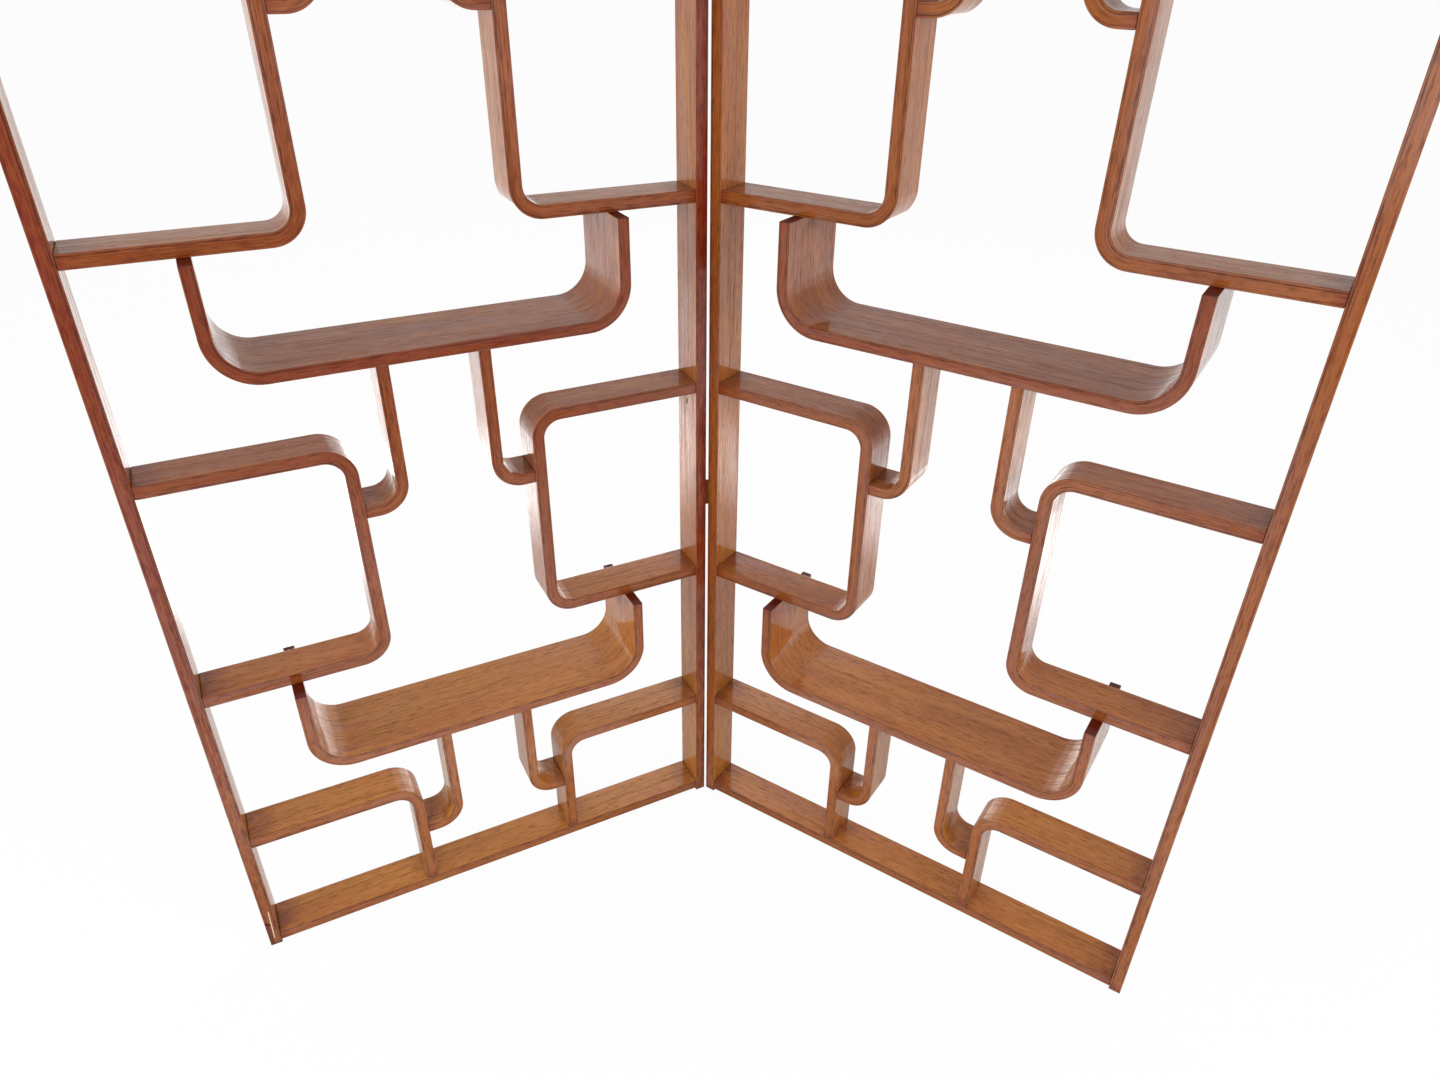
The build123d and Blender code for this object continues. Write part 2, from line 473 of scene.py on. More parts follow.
    def build(self) -> bpy.types.Material:
        """Builds the material.

        Returns:
            The finished material.
        """
        material, node = new_material(self.name)
        wood = self.wood(node)
        by_part = {SHARE: wood.edge, UNDER: self.faces(node, wood), OVER: self.edges(node, wood)}
        colour = self.darkened(node, wood, node("Mix", by_part, **COLOUR_MIX))
        coat = self.coat(node, wood)
        for mark in self.marks:
            colour, coat = mark.paint(node, wood.place, colour, coat)
        pits = {"Height": wood.pores, "Strength": 0.12, "Distance": self.groove_mm * MM}
        grooves = {"Height": wood.lines, "Strength": 0.6, "Distance": self.groove_mm * MM}
        shader = node(
            "BsdfPrincipled",
            {
                "Base Color": colour,
                "Roughness": node("MapRange", [wood.mottle, *self.roughness_range]),
                "IOR": 1.5,
                "Specular IOR Level": 0.1,
                "Coat Weight": coat,
                "Coat Roughness": self.coat_roughness,
                "Coat IOR": self.coat_ior,
                "Normal": node("Bump", pits),
                "Coat Normal": node("Bump", grooves),
            },
        )
        node("OutputMaterial", {"Surface": shader})
        return material


@dataclass(frozen=True)
class PlanedHardwood:
    """Bare planed beech: pale, dry and matt, with small darker flecks."""

    name: str
    light: str = "#c9a274"
    dark: str = "#a97c4d"
    fleck_mm: float = 1.2

    def build(self) -> bpy.types.Material:
        """Builds the material.

        Returns:
            The finished material.
        """
        material, node = new_material(self.name)
        place = node("TexCoord", output="Object")
        noise = node("TexNoise", {"Vector": place, "Scale": 1 / (self.fleck_mm * MM), "Detail": 3.0})
        colour = node("ValToRGB", [noise], stops=((0.35, self.dark), (0.65, self.light)))
        shader = node("BsdfPrincipled", {"Base Color": colour, "Roughness": 0.7})
        node("OutputMaterial", {"Surface": shader})
        return material


@dataclass(frozen=True)
class MouldedNylon:
    """Dark brown nylon, moulded: dull, with a faint speckle and scuffs where it slides."""

    name: str
    body: str = "#2b1d16"
    scuff: str = "#4a382c"
    speckle_mm: float = 1.5

    def build(self) -> bpy.types.Material:
        """Builds the material.

        Returns:
            The finished material.
        """
        material, node = new_material(self.name)
        place = node("TexCoord", output="Object")
        noise = node("TexNoise", {"Vector": place, "Scale": 1 / (self.speckle_mm * MM), "Detail": 4.0})
        colour = node("ValToRGB", [noise], stops=((0.45, self.body), (0.75, self.scuff)))
        bump = node("Bump", {"Height": noise, "Strength": 0.2, "Distance": 0.1 * MM})
        shader = node("BsdfPrincipled", {"Base Color": colour, "Roughness": 0.55, "Normal": bump})
        node("OutputMaterial", {"Surface": shader})
        return material


@dataclass(frozen=True)
class AgedBrass:
    """Rolled brass that has darkened: red brown and dull, with patches still yellow and smooth."""

    name: str
    bright: str = "#93623a"
    tarnish: str = "#46281a"
    patch_mm: float = 4.0
    roughness_range: Range = (0.35, 0.7, 0.5, 0.3)

    def build(self) -> bpy.types.Material:
        """Builds the material.

        Returns:
            The finished material.
        """
        material, node = new_material(self.name)
        place = node("TexCoord", output="Object")
        noise = node("TexNoise", {"Vector": place, "Scale": 1 / (self.patch_mm * MM), "Detail": 5.0})
        shader = node(
            "BsdfPrincipled",
            {
                "Base Color": node("ValToRGB", [noise], stops=((0.38, self.tarnish), (0.7, self.bright))),
                "Metallic": 1.0,
                "Roughness": node("MapRange", [noise, *self.roughness_range]),
                "Normal": node("Bump", {"Height": noise, "Strength": 0.1, "Distance": 0.1 * MM}),
            },
        )
        node("OutputMaterial", {"Surface": shader})
        return material


FINISHES = {
    Slot.FRAME: LacqueredVeneer("lacquered_frame_veneer"),
    Slot.BENT: LacqueredVeneer("lacquered_bent_veneer"),
    Slot.SHELF: LacqueredVeneer("lacquered_shelf_veneer"),
    Slot.TENON: PlanedHardwood("planed_beech"),
    Slot.GLIDE: MouldedNylon("moulded_brown_nylon"),
    Slot.HINGE: AgedBrass("aged_brass"),
}

# The foot of one stile has lost part of its outer veneers and has a crack beside the stub. A painted
# shadow lies under the step where the veneers broke off.
SPLIT_FOOT_AND_STEP_SHADOW = (
    Mark((34, -24.5, -4.6), (1, -24.5, -4.6), 7.0, "#68392c"),
    Mark((0, -24.5, -6), (0, -24.5, 6), 6.0, "#4a261c"),
    # Painted shadow under the step where the outer veneers broke off
    Mark((41, -24.5, -6.0), (37, -24.5, -1.6), 4.2, "#321510"),
    Mark((60, -24.5, 1.5), (12, -24.5, -0.6), 1.5, "#dcc0a6"),
)
NAIL_HOLE = (Mark((632.5, 0.0, -7), (627, 1.0, -7), 4.0, "#2a1812"),)
MARKED = {
    "left_outer_stile": LacqueredVeneer("lacquered_frame_veneer_with_split_foot_and_step_shadow", marks=SPLIT_FOOT_AND_STEP_SHADOW),
    "left_inner_stile": LacqueredVeneer("lacquered_frame_veneer_with_nail_hole", marks=NAIL_HOLE),
}


@dataclass(frozen=True)
class Ageing:
    """How a leaf has aged, and the painted light on its foot: painted light from the floor makes
    the foot paler and fades the leaf's red stain there, so that higher up its edges keep more of it.

    Its first seed makes its veneers differ from those of the other leaf.
    """

    first_seed: int
    foot_tone: float
    stain: float
    inner_stile_stain: float
    outer_stile_stain: float
    hinge_side_stain: float = 0.12
    foot_height: float = 0.1
    full_height: float = 0.55

    def foot_share(self, heights: np.ndarray) -> np.ndarray:
        """Gives how much of the painted floor light each height gets, from 0 to 1."""
        return np.clip((self.full_height - heights) / (self.full_height - self.foot_height), 0, 1)


AGEING_AND_FLOOR_LIGHT = {
    Side.LEFT: Ageing(
        first_seed=0, foot_tone=0.5, stain=0.34, inner_stile_stain=0.5, outer_stile_stain=0.32
    ),
    Side.RIGHT: Ageing(
        first_seed=311, foot_tone=0.24, stain=0.04, inner_stile_stain=0.12, outer_stile_stain=0.0
    ),
}


def rounded_path(corners: list[tuple[float, float]], radius: float, steps: int) -> np.ndarray:
    """Rounds the corners of an open path with true arcs.

    Args:
        corners: The path's points, across and height, in metres.
        radius: The arcs' radius.
        steps: The number of chords in each arc.

    Returns:
        The rounded path's points, one row each.
    """
    points = [Vector(corner) for corner in corners]
    made = [points[0]]
    for before, corner, after in zip(points, points[1:], points[2:]):
        arrive = (corner - before).normalized()
        leave = (after - corner).normalized()
        turn = arrive.angle_signed(leave)
        reach = radius * math.tan(abs(turn) / 2)
        centre = corner - arrive * reach + (leave - arrive * arrive.dot(leave)).normalized() * radius
        spoke = corner - arrive * reach - centre
        for step in range(steps + 1):
            made.append(centre + spoke @ Matrix.Rotation(turn * step / steps, 2))
    made.append(points[-1])
    return np.array([tuple(point) for point in made])


@dataclass
class Strip:
    """One strip of glued veneers on edge, swept along a rounded path on its leaf.

    The bend radius is that of the bends' outer face. Near and far are the depths of its edges.
    """

    corners: list[tuple[float, float]]
    thickness: float
    bend_radius: float
    near: float
    far: float
    ease: float = 0.9 * MM
    ease_segments: int = 2
    sharp_degrees: float = 45.0
    arc_steps: int = 14
    longest_run: float = 60 * MM

    def path(self) -> np.ndarray:
        """Draws the strip's centre line with its straight runs divided.

        Returns:
            Its points on the leaf, one row each: across and height.
        """
        line = rounded_path(self.corners, self.bend_radius - self.thickness / 2, self.arc_steps)
        divided = [line[:1]]
        for start, end in zip(line, line[1:]):
            count = math.ceil(np.linalg.norm(end - start) / self.longest_run)
            shares = np.arange(1, count + 1)[:, None] / count
            divided.append(start + (end - start) * shares)
        return np.vstack(divided)

    def swept(self) -> bmesh.types.BMesh:
        """Sweeps the strip's section along its path, on the leaf: across, depth and height.

        Returns:
            The closed mesh, with its edges eased.
        """
        line = self.path()
        ways = np.diff(line, axis=0)
        ways /= np.linalg.norm(ways, axis=1)[:, None]
        before = np.vstack([ways[:1], ways])
        after = np.vstack([ways, ways[-1:]])
        mean = (before + after) / np.linalg.norm(before + after, axis=1)[:, None]
        reach = self.thickness / 2 / (mean * before).sum(1)
        out = np.stack([-mean[:, 1], mean[:, 0]], 1) * reach[:, None]
        mesh = bmesh.new()
        rings = []
        for point, push in zip(line, out):
            low, high = point - push, point + push
            places = [(low, self.near), (high, self.near), (high, self.far), (low, self.far)]
            rings.append([mesh.verts.new((at[0], depth, at[1])) for at, depth in places])
        for first, second in zip(rings, rings[1:]):
            for side in range(4):
                turn = (side + 1) % 4
                mesh.faces.new((first[side], first[turn], second[turn], second[side]))
        mesh.faces.new(tuple(reversed(rings[0])))
        mesh.faces.new(tuple(rings[-1]))
        mesh.normal_update()
        least_angle = math.radians(self.sharp_degrees)
        bmesh.ops.bevel(
            mesh,
            geom=[edge for edge in mesh.edges if edge.calc_face_angle() > least_angle],
            offset=self.ease,
            segments=self.ease_segments,
            profile=0.5,
            affect="EDGES",
            clamp_overlap=True,
        )
        return mesh

    def measured(self, places: np.ndarray) -> tuple[np.ndarray, float]:
        """Works out where points lie on the strip.

        Args:
            places: Points on the leaf, one row each: across, depth and height.

        Returns:
            For each point the distances along the strip, across it and through it, and the
            strip's length.
        """
        line = self.path()
        flat = places[:, (0, 2)]
        starts = line[:-1]
        steps = np.diff(line, axis=0)
        lengths = np.linalg.norm(steps, axis=1)
        ways = steps / lengths[:, None]
        offsets = flat[:, None, :] - starts[None, :, :]
        run = np.clip((offsets * ways).sum(2), 0, lengths)
        away = offsets - run[:, :, None] * ways
        nearest = np.linalg.norm(away, axis=2).argmin(1)
        rows = np.arange(len(flat))
        along = np.concatenate([[0], np.cumsum(lengths)])[nearest] + run[rows, nearest]
        gap = away[rows, nearest]
        way = ways[nearest]
        through = gap[:, 1] * way[:, 0] - gap[:, 0] * way[:, 1]
        return np.stack([along, places[:, 1] - (self.near + self.far) / 2, through], 1), lengths.sum()


@dataclass(frozen=True)
class Screw:
    """A slotted countersunk screw whose head stands a hair proud of the hinge plate."""

    head_radius: float = 2.5 * MM
    head_rise: float = 0.25 * MM
    sunk: float = 0.2 * MM
    slot_width: float = 0.7 * MM
    rim_share: float = 0.88
    arc_steps: int = 14

    def add(self, mesh: bmesh.types.BMesh, middle: Vector, slot_angle: float) -> None:
        """Adds the two halves of the head, one on each side of the slot.

        Args:
            mesh: The mesh that gets them, on the leaf: across, depth and height.
            middle: The head's middle on the plate's outer face.
            slot_angle: The slot's turn, in radians.
        """
        start = math.asin(self.slot_width / 2 / self.head_radius)
        angles = np.linspace(start, math.pi - start, self.arc_steps + 1)
        profile = ((1, -self.sunk), (1, self.head_rise / 2), (self.rim_share, self.head_rise))
        for half_turn in (0, math.pi):
            turned = Matrix.Rotation(slot_angle + half_turn, 2)
            rings = []
            for share, rise in profile:
                reach = self.head_radius * share
                ring = []
                for angle in angles:
                    flat = turned @ Vector((reach * math.cos(angle), reach * math.sin(angle)))
                    ring.append(mesh.verts.new(middle + Vector((-rise, flat.x, flat.y))))
                rings.append(ring)
            for low, high in zip(rings, rings[1:]):
                for index in range(len(low)):
                    after = (index + 1) % len(low)
                    mesh.faces.new((low[index], low[after], high[after], high[index]))
            mesh.faces.new(tuple(reversed(rings[0])))
            mesh.faces.new(tuple(rings[-1]))


@dataclass(frozen=True)
class Veneering:
    """What makes one strip's veneers differ from the next strip's.

    The tone is how much lighter its wood is than the usual one. The stain is how much more red
    its edges took, and the hinge stain is how much more there is on the side of the hinges.
    """

    tone: float = 0.0
    stain: float = 0.0
    hinge_stain: float = 0.0


@dataclass(frozen=True)
class Runs:
    """Where a bent strip's centre line runs, and its CAD node's lowest and highest corner.

    By_stile and upright are places across the leaf: of the end near the stile, and of the
    upright run. Lower and upper are the heights of the level runs.
    """

    by_stile: float
    upright: float
    lower: float
    upper: float
    low: Vector
    high: Vector


def dress_node(name: str, material: bpy.types.Material) -> None:
    """Gives a CAD node that stays its material.

    Args:
        name: The node's name.
        material: Its new material.
    """
    mesh = frame["nodes"][name].data
    mesh.materials.clear()
    mesh.materials.append(material)
    LOG.info("%s: %s", name, material.name)


@dataclass
class Leaf:
    """One leaf of the divider, with its strips, glides, hinge plates and their screws.

    The spread and the steps of seed, tone and grain make each strip's veneers its own. Row tones
    are for the shelves from the floor up, and in part for the loops above them.
    """

    side: Side
    materials: dict[Slot, bpy.types.Material]
    marked: dict[str, bpy.types.Material]
    loop_thickness: float = 14 * MM
    loop_bend_radius: float = 34 * MM
    shelf_thickness: float = 12.5 * MM
    shelf_bend_radius: float = 49 * MM
    hook_thickness: float = 13 * MM
    hook_bend_radius: float = 34 * MM
    hinge_length: float = 34 * MM
    hinge_plate_thickness: float = 0.9 * MM
    screw: Screw = Screw()
    screw_depth: float = 12 * MM
    screw_spacing: float = 20 * MM
    row_tones: tuple[float, ...] = (-0.05, -0.28, -0.04, -0.12)
    loop_tone_share: float = 0.5
    shelf_stain_share: float = -0.7
    rail_tone: float = -0.13
    outer_stile_tone: float = -0.08
    spread: float = 0.08
    seed_step: int = 7
    tone_step: float = 1.7
    grain_steps: tuple[float, float] = (0.731, 0.217)
    made: int = 0
    placing: Matrix = field(init=False)

    def __post_init__(self) -> None:
        """Finds the leaf's place and directions from the frame."""
        joint = frame["joints"][0]
        foot = Vector((joint["pos_m"][0], joint["pos_m"][1], 0))
        far, near = (sum(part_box(f"{self.side.value}_{half.value}_stile"), Vector()) / 2 for half in Half)
        across = (far - near).normalized()
        depth = Vector((0, 0, 1)).cross(across)
        if depth.y < 0:
            depth.negate()
        self.placing = Matrix.Translation(foot) @ Matrix(
            [(across[i], depth[i], float(i == 2), 0) for i in range(3)] + [(0, 0, 0, 1)]
        )

    def name(self, *words: str) -> str:
        """Gives the name that starts with the leaf's side and goes on with these words."""
        return "_".join((self.side.value, *words))

    def extent(self, node: str) -> tuple[Vector, Vector]:
        """Gives a CAD node's lowest and highest corner on the leaf.

        Args:
            node: The node's name.

        Returns:
            Two points: across, depth and height, in metres.
        """
        back = self.placing.inverted()
        places = np.array([tuple(back @ vertex.co) for vertex in frame["nodes"][node].data.vertices])
        return Vector(places.min(0)), Vector(places.max(0))

    def placed(
        self, name: str, made: bmesh.types.BMesh, material: bpy.types.Material
    ) -> bpy.types.Object:
        """Moves a mesh from the leaf to its place, faces outward, and makes it ride with the leaf.

        Args:
            name: The new object's name.
            made: The mesh on the leaf. It is used up.
            material: Its material.

        Returns:
            The new object.
        """
        made.transform(self.placing)
        if made.calc_volume(signed=True) < 0:
            bmesh.ops.reverse_faces(made, faces=made.faces[:])
        made.normal_update()
        mesh = bpy.data.meshes.new(name)
        made.to_mesh(mesh)
        made.free()
        mesh.shade_smooth()
        mesh.materials.append(material)
        piece = bpy.data.objects.new(name, mesh)
        bpy.context.scene.collection.objects.link(piece)
        normals = piece.modifiers.new("flat_faces", "WEIGHTED_NORMAL")
        normals.mode = "FACE_AREA"
        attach(piece, self.side.body)
        return piece

    def add(self, node: str, strip: Strip, slot: Slot, veneering: Veneering = Veneering()) -> None:
        """Makes the mesh of a strip, dresses it and puts it in the place of its CAD node.

        Args:
            node: The CAD node that the strip stands for.
            strip: The strip.
            slot: The material slot of its finish.
            veneering: What its veneers are like.
        """
        swept = strip.swept()
        places = np.array([tuple(vertex.co) for vertex in swept.verts])
        material = self.marked.get(node, self.materials[slot])
        piece = self.placed(f"{node}_strip", swept, material)
        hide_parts(node)
        self.record(piece, strip, veneering, places)

    def record(
        self, piece: bpy.types.Object, strip: Strip, veneering: Veneering, places: np.ndarray
    ) -> None:
        """Writes what the veneer's shader reads into a strip's mesh, and logs the strip.

        Args:
            piece: The strip's object.
            strip: The strip.
            veneering: What its veneers are like.
            places: Its points on the leaf, one row each: across, depth and height.
        """
        self.made += 1
        aged_and_lit = AGEING_AND_FLOOR_LIGHT[self.side]
        seed = self.made * self.seed_step + aged_and_lit.first_seed
        foot = aged_and_lit.foot_share(places[:, 2])
        on_strip, length = strip.measured(places)
        half_thickness = strip.thickness / 2
        along, across, through = on_strip.T
        edge = np.clip((np.abs(across) - (strip.far - strip.near) / 2 + strip.ease) / strip.ease, 0, 1)
        from_end = np.minimum(along, length - along)
        usual = veneering.tone + self.spread * math.sin(seed * self.tone_step)
        # Painted light from the floor: the foot is paler and keeps less of the leaf's stain
        tones = usual + aged_and_lit.foot_tone * foot
        stains = (1 - foot) * aged_and_lit.stain + veneering.stain
        stains += veneering.hinge_stain * through / half_thickness
        shift = [seed * step for step in self.grain_steps]
        veneer = np.tile((*shift, half_thickness), (len(edge), 1))
        marks = np.stack([edge, from_end, tones], 1)
        for label, values in (("place", on_strip), ("veneer", veneer), ("marks", marks)):
            attribute = piece.data.attributes.new(label, "FLOAT_VECTOR", "POINT")
            attribute.data.foreach_set("vector", values.astype(np.float32).ravel())
        taken = piece.data.attributes.new("stain", "FLOAT", "POINT")
        taken.data.foreach_set("value", np.clip(stains, 0, 1).astype(np.float32))
        LOG.info("%s: %d faces, %.0f mm long", piece.name, len(piece.data.polygons), length / MM)

    def stile(self, half: Half) -> None:
        """Makes an upright of the frame.

        Args:
            half: The half of the leaf that it bounds.
        """
        node = self.name(half.value, "stile")
        low, high = self.extent(node)
        middle = (low.x + high.x) / 2
        width = high.x - low.x
        aged_and_lit = AGEING_AND_FLOOR_LIGHT[self.side]
        if half is Half.INNER:
            veneering = Veneering(stain=aged_and_lit.inner_stile_stain, hinge_stain=aged_and_lit.hinge_side_stain)
        else:
            veneering = Veneering(tone=self.outer_stile_tone, stain=aged_and_lit.outer_stile_stain)
        strip = Strip([(middle, low.z), (middle, high.z)], width, width, low.y, high.y)
        self.add(node, strip, Slot.FRAME, veneering)

    def rail(self, place: str) -> None:
        """Makes a rail of the frame.

        Args:
            place: The word in its name, bottom or top.
        """
        node = self.name(place, "rail")
        low, high = self.extent(node)
        middle = (low.z + high.z) / 2
        width = high.z - low.z
        strip = Strip([(low.x, middle), (high.x, middle)], width, width, low.y, high.y)
        self.add(node, strip, Slot.FRAME, Veneering(tone=self.rail_tone))

    def runs(self, node: str, half: Half, thickness: float) -> Runs:
        """Finds the lines on which a bent strip's centre line runs.

        Args:
            node: The CAD node.
            half: The half of the leaf that it is in.
            thickness: The strip's thickness.

        Returns:
            The lines, and the node's corners.
        """
        low, high = self.extent(node)
        by_stile, by_middle = (high.x, low.x) if half is Half.OUTER else (low.x, high.x)
        inset = thickness / 2
        upright = by_middle + half.towards_stile * inset
        return Runs(by_stile, upright, low.z + inset, high.z - inset, low, high)

    def loop(self, half: Half, row: int) -> None:
        """Makes a C-shaped loop.

        Args:
            half: The half of the leaf that it is in.
            row: Its row, counted from the floor.
        """
        node = self.name(half.value, "loop", str(row))
        at = self.runs(node, half, self.loop_thickness)
        corners = [
            (at.by_stile, at.upper),
            (at.upright, at.upper),
            (at.upright, at.lower),
            (at.by_stile, at.lower),
        ]
        strip = Strip(corners, self.loop_thickness, self.loop_bend_radius, at.low.y, at.high.y)
        self.add(node, strip, Slot.BENT, Veneering(tone=self.row_tones[row] * self.loop_tone_share))

    def arch(self, half: Half, place: str) -> None:
        """Makes an L-shaped arch.

        Args:
            half: The half of the leaf that it is in.
            place: The word in its name: foot by the bottom rail, or crown by the top rail.
        """
        node = self.name(half.value, place, "arch")
        at = self.runs(node, half, self.loop_thickness)
        run, leg_end = (at.upper, at.low.z) if place == "foot" else (at.lower, at.high.z)
        corners = [(at.by_stile, run), (at.upright, run), (at.upright, leg_end)]
        strip = Strip(corners, self.loop_thickness, self.loop_bend_radius, at.low.y, at.high.y)
        self.add(node, strip, Slot.BENT)

    def hook(self, half: Half, row: int) -> None:
        """Makes a J-shaped hook, from under a shelf to the side of a loop.

        Args:
            half: The half of the leaf that it is in.
            row: Its row, counted from the floor.
        """
        node = self.name(half.value, "hook", str(row))
        at = self.runs(node, half, self.hook_thickness)
        corners = [(at.upright, at.high.z), (at.upright, at.lower), (at.by_stile, at.lower)]
        strip = Strip(corners, self.hook_thickness, self.hook_bend_radius, at.low.y, at.high.y)
        self.add(node, strip, Slot.BENT)

    def shelf(self, row: int) -> None:
        """Makes a deep U-shaped shelf.

        Args:
            row: Its row, counted from the floor.
        """
        node = self.name("shelf", str(row))
        low, high = self.extent(node)
        inset = self.shelf_thickness / 2
        corners = [
            (low.x + inset, high.z),
            (low.x + inset, low.z + inset),
            (high.x - inset, low.z + inset),
            (high.x - inset, high.z),
        ]
        strip = Strip(corners, self.shelf_thickness, self.shelf_bend_radius, low.y, high.y)
        tone = self.row_tones[row - 1]
        self.add(node, strip, Slot.SHELF, Veneering(tone, stain=tone * self.shelf_stain_share))

    def screws(self) -> None:
        """Makes the screws in the hinge plates, two in each plate, with their slots at odd turns."""
        lowest, highest = self.extent(self.name("hinge_leaves"))
        stile, _ = self.extent(self.name("inner_stile"))
        face = stile.x - self.hinge_plate_thickness
        made = bmesh.new()
        for level in (lowest.z + self.hinge_length / 2, highest.z - self.hinge_length / 2):
            for step in (-0.5, 0.5):
                height = level + step * self.screw_spacing
                slot_angle = math.sin(height / MM) * math.pi
                self.screw.add(made, Vector((face, self.screw_depth, height)), slot_angle)
        piece = self.placed(self.name("hinge_screws"), made, self.materials[Slot.HINGE])
        LOG.info("%s: %d faces", piece.name, len(piece.data.polygons))

    def dress(self) -> None:
        """Gives the CAD nodes that stay their finishes."""
        kept = {"loose_tenons": Slot.TENON, "glides": Slot.GLIDE, "hinge_leaves": Slot.HINGE}
        for word, slot in kept.items():
            dress_node(self.name(word), self.materials[slot])

    def build(self) -> None:
        """Builds and dresses the whole leaf."""
        rows = sum(name.startswith(self.name("shelf", "")) for name in frame["nodes"])
        for half in Half:
            self.stile(half)
            self.arch(half, "foot")
            self.arch(half, "crown")
            for row in range(1, rows):
                self.loop(half, row)
            for row in range(1, rows + 1):
                self.hook(half, row)
        self.rail("bottom")
        self.rail("top")
        for row in range(1, rows + 1):
            self.shelf(row)
        self.screws()
        self.dress()


@dataclass(frozen=True)
class Pool:
    """A painted pool of light on the floor, seen in the lacquer's reflections: its middle, where it starts
    and ends to fade, and its light.
    """

    middle: Place
    fade: tuple[float, float]
    light: float


@dataclass(frozen=True)
class Window:
    """Painted window light on the floor, brighter the more a place lies towards it: its direction, and its
    light near and far.
    """

    way: Place
    near: float
    far: float


@dataclass(frozen=True)
class PaleFloor:
    """The studio's matt pale floor: white to the camera, with the object's shadow on it.

    In the lacquer's reflections the floor shows painted light and shade: painted shade dims it
    close to the object, it is dim far away in front of it, painted pools of window light lie
    behind each leaf, and painted light from two windows in front brightens the floor towards them.
    The ways are directions on the floor, whose X points right and whose Y points away.
    """

    name: str = "matt_pale_floor"
    matt: str = "#ededed"
    seen: float = 0.96
    mirrored: float = 0.83
    # Behind the object: painted shade dims the floor close to it
    behind_range: Range = (0.1, 1.2, 0.46, 1.15)
    front_left_range: Range = (1.5, 2.4, 1.45, 0.4)
    front_right_range: Range = (0.8, 1.3, 1.45, 0.4)
    way_to_right: Range = (-0.2, 0.4, 0.0, 1.0)
    way_to_front: Range = (-0.72, -0.5, 1.0, 0.0)
    pools: tuple[Pool, ...] = (
        Pool((-0.98, 0.87, 0), (0.08, 0.42), 2.5),
        Pool((-1.6, 1.2, 0), (0.2, 1.0), 0.7),
        Pool((-2.6, 1.95, 0), (0.4, 3.0), 0.3),
        Pool((1.0, 0.69, 0), (0.06, 0.32), 2.3),
        Pool((1.3, 0.85, 0), (0.1, 0.9), 0.5),
        Pool((2.4, 1.35, 0), (0.2, 1.0), 0.3),
    )
    windows: tuple[Window, ...] = (
        Window((-0.5, -0.866, 0), 0.3, 2.6),
        Window((0.66, -0.75, 0), 0.0, 1.1),
    )
    window_reach: tuple[float, float] = (2.0, 9.0)
    window_spread: Range = (0.96, 0.995, 0.0, 1.0)

    def mirrored_brightness(self, node: Callable) -> Socket:
        """Works out the painted light and shade that the floor shows in the lacquer's reflections.

        Args:
            node: Adds a node to the material.

        Returns:
            The brightness.
        """
        place = node("TexCoord", output="Object")
        away = node("VectorMath", [place], "Value", operation="LENGTH")
        way = node("VectorMath", [place], operation="NORMALIZE")
        to_right = node("MapRange", [node("SeparateXYZ", [way], "X"), *self.way_to_right])
        to_front = node("MapRange", [node("SeparateXYZ", [way], "Y"), *self.way_to_front])
        left = node("MapRange", [away, *self.front_left_range])
        right = node("MapRange", [away, *self.front_right_range])
        behind = node("MapRange", [away, *self.behind_range])
        front = node("Mix", {SHARE: to_right, LOW: left, HIGH: right})
        bright = node("Mix", {SHARE: to_front, LOW: behind, HIGH: front})
        for pool in self.pools:
            off = node("VectorMath", [place, pool.middle], "Value", operation="DISTANCE")
            faded = [off, *pool.fade, pool.light, 0.0]
            light = node("MapRange", faded, interpolation_type="SMOOTHSTEP")
            bright = node("Math", [bright, light], operation="ADD")
        for window in self.windows:
            aligned = node("VectorMath", [way, window.way], "Value", operation="DOT_PRODUCT")
            facing = node("MapRange", [aligned, *self.window_spread])
            reached = node("MapRange", [away, *self.window_reach, window.near, window.far])
            light = node("Math", [facing, reached], operation="MULTIPLY")
            bright = node("Math", [bright, light], operation="ADD")
        return bright

    def build(self) -> bpy.types.Material:
        """Builds the material.

        Returns:
            The finished material.
        """
        material, node = new_material(self.name)
        paths = node("LightPath").node.outputs
        rays = [paths["Is Glossy Ray"], paths["Is Transmission Ray"]]
        mirrored = node("Math", rays, operation="MAXIMUM")
        strength = node("Mix", {SHARE: mirrored, LOW: 1.0, HIGH: self.mirrored_brightness(node)})
        shares = [
            node("Math", [ray, share], operation="MULTIPLY")
            for ray, share in ((paths["Is Camera Ray"], self.seen), (mirrored, self.mirrored))
        ]
        share = node("Math", shares, operation="MAXIMUM")
        matt = node("BsdfDiffuse", {"Color": linear(self.matt)})
        glow = node("Emission", {"Color": WHITE, "Strength": strength})
        node("OutputMaterial", {"Surface": node("MixShader", [share, matt, glow])})
        return material


@dataclass(frozen=True)
class Lamp:
    """A soft lamp that the camera doesn't see: a round one, or a panel if it has a height.

    A round lamp lights the object and isn't mirrored. A panel is only mirrored.
    """

    name: str
    place: Place
    aim: Place
    size: float
    watts: float
    height: float = 0.0

    def build(self) -> None:
        """Adds the lamp."""
        data = bpy.data.lights.new(self.name, "AREA")
        data.shape = "RECTANGLE" if self.height else "DISK"
        data.size = self.size
        data.size_y = self.height or self.size
        data.energy = self.watts
        lamp = bpy.data.objects.new(self.name, data)
        lamp.visible_camera = False
        lamp.visible_glossy = bool(self.height)
        lamp.visible_diffuse = not self.height
        lamp.location = self.place
        way = Vector(self.aim) - Vector(self.place)
        lamp.rotation_euler = way.to_track_quat("-Z", "Y").to_euler()
        bpy.context.scene.collection.objects.link(lamp)


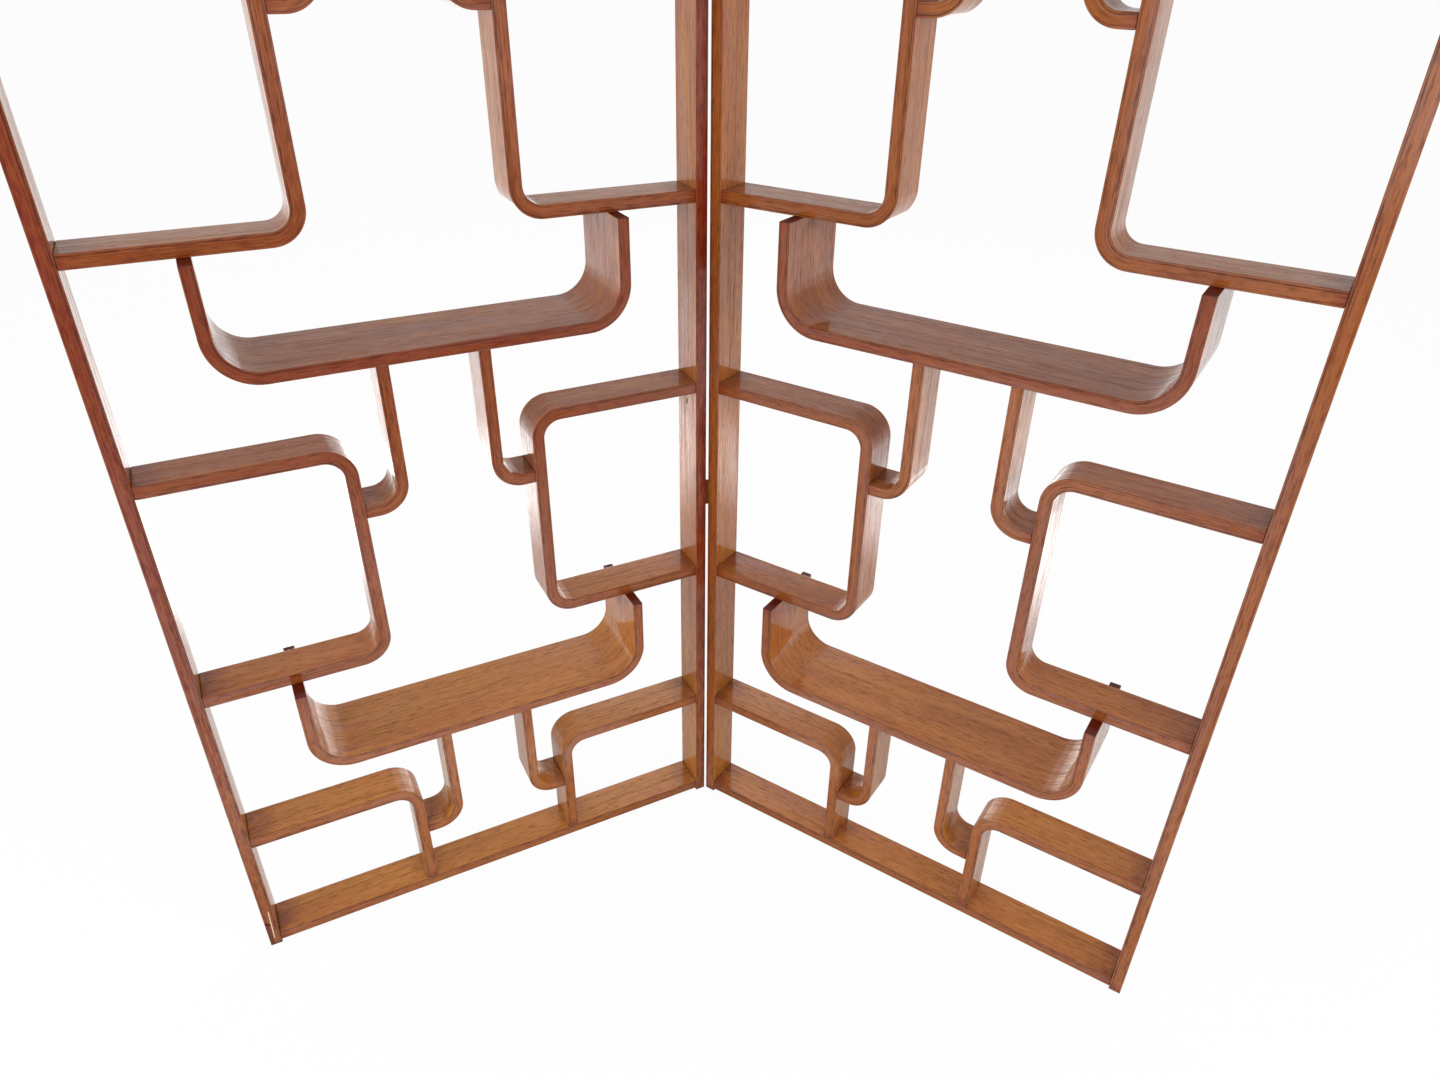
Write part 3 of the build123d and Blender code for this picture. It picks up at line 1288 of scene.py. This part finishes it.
@dataclass(frozen=True)
class Studio:
    """A plain pale floor and room, soft lamps and the camera at the photograph's viewing angle.

    The dome gives the room's brightness in reflections, from the horizon up to straight above.
    """

    place_mm: Place = (70.1, -966.2, 1121.4)
    turn_degrees: tuple[float, float, float] = (58.53, -0.70, 3.17)
    lens_mm: float = 24.97
    sensor_mm: float = 36.0
    floor_size: float = 80.0
    daylight: float = 0.45
    dome: tuple[tuple[float, str], ...] = (
        (0.0, "#e2e2e2"),
        (0.1, "#cecece"),
        (0.35, "#cdcdcd"),
        (0.6, "#e2e2e2"),
    )
    lamps: tuple[Lamp, ...] = (
        Lamp("front_softbox", (-0.1, -1.9, 1.3), (0, 0, 0.7), 1.2, 16.0),
        Lamp("left_softbox", (-1.9, -1.2, 1.2), (0, 0, 0.6), 1.4, 30.0),
        Lamp("right_softbox", (1.9, -1.2, 1.2), (0, 0, 0.6), 1.4, 26.0),
        Lamp("back_softbox", (0.0, 3.0, 2.2), (0, 0, 0.9), 2.0, 16.0),
        Lamp("low_back_panel", (-0.1, 0.9, 0.29), (-0.1, 0, 0.29), 1.1, 2.4, 0.5),
        Lamp("tall_back_panel", (-0.1, 0.92, 0.48), (-0.1, 0, 0.48), 1.1, 2.4, 0.9),
    )

    def camera(self) -> None:
        """Adds the camera."""
        data = bpy.data.cameras.new("camera")
        data.lens = self.lens_mm
        data.sensor_width = self.sensor_mm
        data.clip_end = 2 * self.floor_size
        camera = bpy.data.objects.new("camera", data)
        camera.location = Vector(self.place_mm) * MM
        camera.rotation_euler = Euler([math.radians(angle) for angle in self.turn_degrees], "XYZ")
        bpy.context.scene.collection.objects.link(camera)
        bpy.context.scene.camera = camera

    def floor(self) -> None:
        """Adds the pale floor, which keeps the object's shadow."""
        mesh = bpy.data.meshes.new("floor")
        half = self.floor_size / 2
        corners = [(-half, -half, 0), (half, -half, 0), (half, half, 0), (-half, half, 0)]
        mesh.from_pydata(corners, [], [(0, 1, 2, 3)])
        mesh.materials.append(PaleFloor().build())
        floor = bpy.data.objects.new("floor", mesh)
        bpy.context.scene.collection.objects.link(floor)

    def world(self) -> None:
        """Sets the room: an even daylight, white to the camera and pale in reflections."""
        world = bpy.data.worlds.new("pale_room")
        world.use_nodes = True
        world.node_tree.nodes.clear()
        node = partial(add_node, world.node_tree)
        paths = node("LightPath").node.outputs
        rays = [paths["Is Glossy Ray"], paths["Is Transmission Ray"]]
        mirrored = node("Math", rays, operation="MAXIMUM")
        seen = node("Math", [paths["Is Camera Ray"], mirrored], operation="MAXIMUM")
        height = node("SeparateXYZ", [node("TexCoord")], "Z")
        dome = node("ValToRGB", [height], stops=self.dome)
        shown = node("Math", [dome, paths["Is Camera Ray"]], operation="MAXIMUM")
        light = node("Background", {"Color": WHITE, "Strength": self.daylight})
        pale = node("Background", {"Color": WHITE, "Strength": shown})
        node("OutputWorld", {"Surface": node("MixShader", [seen, light, pale])})
        bpy.context.scene.world = world

    def build(self) -> None:
        """Builds the studio."""
        self.camera()
        self.floor()
        self.world()
        for lamp in self.lamps:
            lamp.build()
        bpy.context.scene.view_settings.view_transform = "Standard"


def main() -> None:
    """Builds the object and the studio."""
    logging.basicConfig(level=logging.INFO, format="%(name)s: %(message)s")
    materials = {slot: finish.build() for slot, finish in FINISHES.items()}
    marked = {node: finish.build() for node, finish in MARKED.items()}
    for side in Side:
        Leaf(side, materials, marked).build()
    dress_node("hinge_pins", materials[Slot.HINGE])
    Studio().build()


if __name__ == "__main__":
    main()
